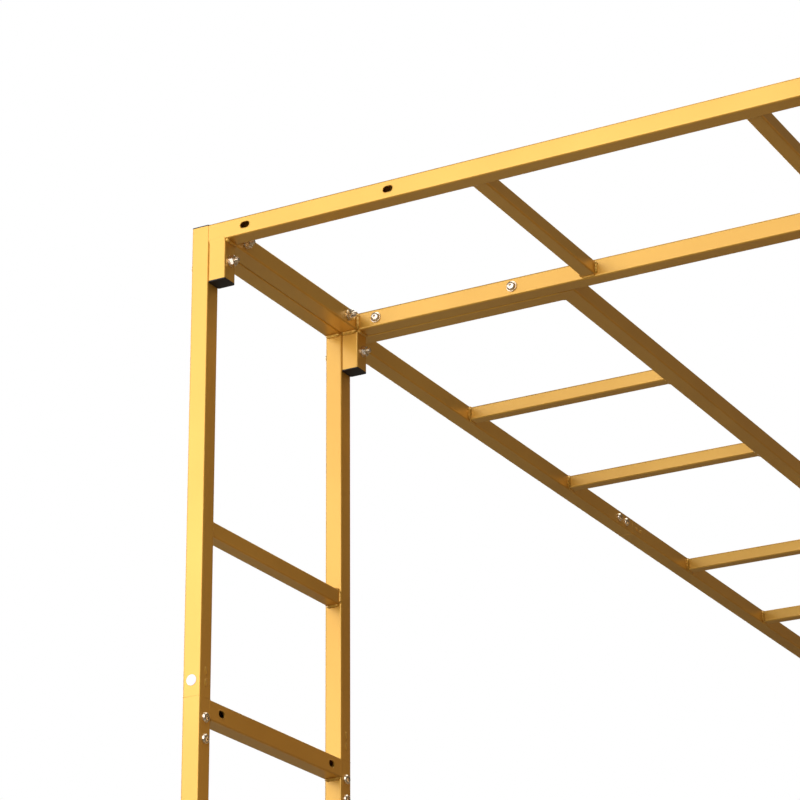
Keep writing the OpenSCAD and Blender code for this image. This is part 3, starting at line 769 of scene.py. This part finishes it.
screw_uses = []
for lo, hi, _ in solids("slat_screws"):
    seat_z = hi.z - PAN_HEAD_H * MM
    if not screw_uses:
        screw = slat_screw_master((seat_z - lo.z) / MM, (hi.x - lo.x) / 2 / MM)
    spot = Vector(((lo.x + hi.x) / 2, (lo.y + hi.y) / 2, seat_z))
    x_axis = Matrix.Rotation(random.uniform(0, math.pi), 3, "Z") @ UNIT[0]
    screw_uses.append((screw, at(spot, UNIT[2], x_axis)))
make_piece("slat_screws_turned", "plated_steel", screw_uses, ["slat_screws"])

# %% [markdown]
# ## Studio, floor and camera
# A bed this size is pictured in a white room. A soft panel stands close to the near corner,
# so its light falls off with depth, and others to the left, above and behind light the far
# sides. The faces that look forward are bright, and the inner faces and undersides fall into
# a warm brown. The floor fades out with distance, so the room has no horizon. The camera
# stands low at the foot of the bed with a long lens and looks up into the near corner of the
# canopy, which keeps the tubes nearly parallel.

# %% Floor and white room
FLOOR_SIZE, FLOOR_REACH = 14, 6      # metres; the floor is clear before its own edge


def studio_floor():
    deselect()
    bpy.ops.mesh.primitive_plane_add(size=FLOOR_SIZE)
    floor = bpy.context.object
    floor.name = "studio_floor"
    material, tree, place, surface = new_material("pale_studio_floor")
    tone = two_tones(tree, noise(tree, place, 400, 3.0), "#B4AFA2", "#BBB6AA")
    shader = add_node(tree, "ShaderNodeBsdfPrincipled", {
        "Base Color": tone.outputs["Color"], "Roughness": 0.7})
    reach = add_node(tree, "ShaderNodeMapping", {
        "Vector": place, "Scale": [1 / FLOOR_REACH] * 3})
    fall = add_node(tree, "ShaderNodeTexGradient", {"Vector": reach.outputs["Vector"]},
                    gradient_type="SPHERICAL")
    solid = add_node(tree, "ShaderNodeMapRange", {
        "Value": fall.outputs["Fac"], "From Min": 0.12, "From Max": 0.55},
        interpolation_type="SMOOTHSTEP")
    fade = add_node(tree, "ShaderNodeMixShader", {"Fac": solid.outputs["Result"]})
    clear = add_node(tree, "ShaderNodeBsdfTransparent")
    tree.links.new(clear.outputs["BSDF"], fade.inputs[1])
    tree.links.new(shader.outputs["BSDF"], fade.inputs[2])
    tree.links.new(fade.outputs["Shader"], surface)
    floor.data.materials.append(material)


def white_room(seen, lighting):
    """White where the room is seen directly, and a dim warm tone where it lights the bed."""
    world = bpy.data.worlds.new("white_room")
    bpy.context.scene.world = world
    world.use_nodes = True
    tree = world.node_tree
    tree.nodes.clear()
    direct = add_node(tree, "ShaderNodeLightPath").outputs["Is Camera Ray"]
    strength = add_node(tree, "ShaderNodeMapRange", {
        "Value": direct, "To Min": lighting, "To Max": seen})
    tint = add_node(tree, "ShaderNodeMix", {
        "Factor": direct, "A": linear("#FFE6C4"), "B": (1, 1, 1, 1)}, data_type="RGBA")
    white = add_node(tree, "ShaderNodeBackground", {
        "Color": tint.outputs["Result"], "Strength": strength.outputs["Result"]})
    out = add_node(tree, "ShaderNodeOutputWorld")
    tree.links.new(white.outputs["Background"], out.inputs["Surface"])


def soft_panel(name, place, target, size, power, colour="#FFFFFF"):
    """A rectangle of light aimed at a target, unseen itself; metres and watts."""
    deselect()
    bpy.ops.object.light_add(type="AREA", location=place)
    panel = bpy.context.object
    panel.name = name
    panel.data.shape, panel.data.size, panel.data.size_y = "RECTANGLE", size[0], size[1]
    panel.data.energy = power
    panel.data.color = linear(colour)[:3]
    panel.visible_camera = False
    panel.rotation_mode = "QUATERNION"
    panel.rotation_quaternion = (target - Vector(place)).to_track_quat("-Z", "Y")


middle = (Vector(cad_box[0]) + Vector(cad_box[1])) / 2
studio_floor()
white_room(seen=1.0, lighting=0.13)
near_corner = Vector((-0.65, -0.9, 1.75))
soft_panel("near_panel", (-0.8, -1.95, 2.0), near_corner, (2.2, 1.4), 26, "#F0F0FF")
soft_panel("top_panel", (0.0, 0.6, 5.5), middle, (4.0, 4.0), 90)
soft_panel("back_panel", (5.2, 4.2, 2.0), near_corner, (2.6, 2.4), 32, "#FFC88E")
soft_panel("left_panel", (-5.5, 0.8, 3.4), middle, (4.0, 3.0), 80)
soft_panel("head_panel", (-4.0, 5.2, 3.4), middle, (3.0, 3.0), 80)
bpy.context.scene.view_settings.view_transform = "Standard"
print("panels aimed at", [round(c, 2) for c in middle])

# %% Camera
CAMERA_FROM_CORNER = Vector((1.4627, -2.2738, -1.2781))   # from the canopy's near top corner
CAMERA_HEADING = math.radians(28.67)                      # turned left of the bed's length
CAMERA_TILT = math.radians(21.91)                         # looking up
CAMERA_ROLL = math.radians(-0.43)
end_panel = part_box("canopy_foot_panel_left")
corner = Vector((end_panel[0][0], end_panel[0][1], end_panel[1][2]))
bpy.ops.object.camera_add(location=corner + CAMERA_FROM_CORNER)
camera = bpy.context.object
camera.data.lens, camera.data.sensor_width = 132.2, 36
camera.data.clip_end = 100
turn = (Matrix.Rotation(CAMERA_HEADING, 3, "Z")
        @ Matrix.Rotation(math.pi / 2 + CAMERA_TILT, 3, "X")
        @ Matrix.Rotation(CAMERA_ROLL, 3, "Z"))
camera.rotation_mode = "QUATERNION"
camera.rotation_quaternion = turn.to_quaternion()
bpy.context.scene.camera = camera
print("camera at", [round(c, 3) for c in camera.location], "lens", camera.data.lens)
